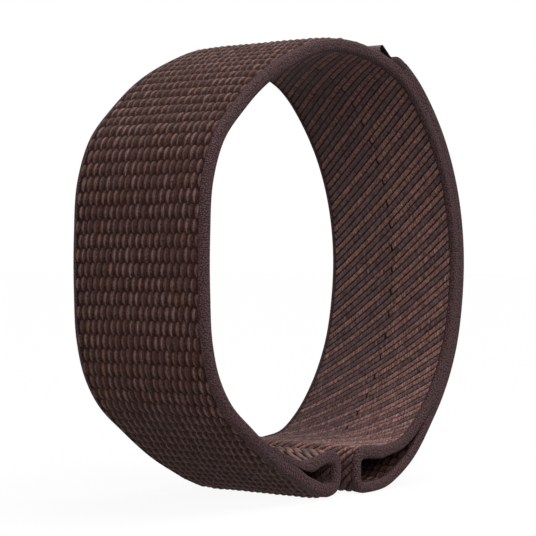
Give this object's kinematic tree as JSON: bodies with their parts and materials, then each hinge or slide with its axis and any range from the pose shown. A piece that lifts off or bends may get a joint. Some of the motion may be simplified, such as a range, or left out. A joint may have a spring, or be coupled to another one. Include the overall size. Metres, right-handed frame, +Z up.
{
  "type": "hook and loop watch strap",
  "caption": "Woven hook and loop watch strap closed into a ring, with a bar loop at each end, a peel-back tail and a folded pull tab.",
  "frame": {"origin": "centre of the strap's box in plan, on the surface that the closed ring stands on with its bar loops down", "axes": "+Z up from the bar loops to the crown, +X across the ring towards the doubled side with the tail, +Y across the strap's width"},
  "size_m": [0.0614, 0.0226, 0.0631],
  "materials": {
    "pile": "dark brown woven loop pile in a ladder of rows",
    "lining": "brown woven lining with diagonal cords",
    "selvedge": "fine purple-brown knitted edge",
    "hook": "dark woven nylon hook tape",
    "tab": "smooth grey-brown folded tape",
    "thread": "dense brown stitching"
  },
  "bodies": {
    "band": {"band_pile": "pile", "band_lining": "lining", "band_near_selvedge": "selvedge", "band_far_selvedge": "selvedge"},
    "shoulder": {"shoulder_pile": "pile", "shoulder_lining": "lining", "shoulder_near_selvedge": "selvedge", "shoulder_far_selvedge": "selvedge"},
    "left_arm": {"left_arm_pile": "pile", "left_arm_lining": "lining", "left_arm_near_selvedge": "selvedge", "left_arm_far_selvedge": "selvedge", "fold_tack": "thread"},
    "tail_root": {"tail_root_pile": "pile", "tail_root_lining": "lining", "tail_root_near_selvedge": "selvedge", "tail_root_far_selvedge": "selvedge"},
    "tail": {"tail_pile": "pile", "tail_lining": "lining", "tail_near_selvedge": "selvedge", "tail_far_selvedge": "selvedge", "hook_tape": "hook", "tail_tip": "selvedge"},
    "pull_tab": {"pull_tab": "tab"}
  },
  "joints": [
    {"name": "crown_flex", "type": "hinge", "parent": "band", "child": "shoulder", "pos_m": [-0.0011, 0, 0.06307], "axis": [0, 1, 0], "range_deg": [0, 30]},
    {"name": "arm_flex", "type": "hinge", "parent": "shoulder", "child": "left_arm", "pos_m": [-0.02944, 0, 0.04442], "axis": [0, 1, 0], "range_deg": [0, 30]},
    {"name": "tail_root_peel", "type": "hinge", "parent": "band", "child": "tail_root", "pos_m": [0.02643, 0, 0.01459], "axis": [0, 1, 0], "range_deg": [0, 45]},
    {"name": "tail_peel", "type": "hinge", "parent": "tail_root", "child": "tail", "pos_m": [0.0307, 0, 0.03305], "axis": [0, 1, 0], "range_deg": [0, 90]},
    {"name": "tab_lift", "type": "hinge", "parent": "tail", "child": "pull_tab", "pos_m": [0.01194, 0, 0.06131], "axis": [0, 1, 0], "range_deg": [0, 45]}
  ],
  "couplings": [
    {"joint": "arm_flex", "follows": "crown_flex", "ratio": 1},
    {"joint": "tail_root_peel", "follows": "tail_peel", "ratio": 0.5}
  ]
}
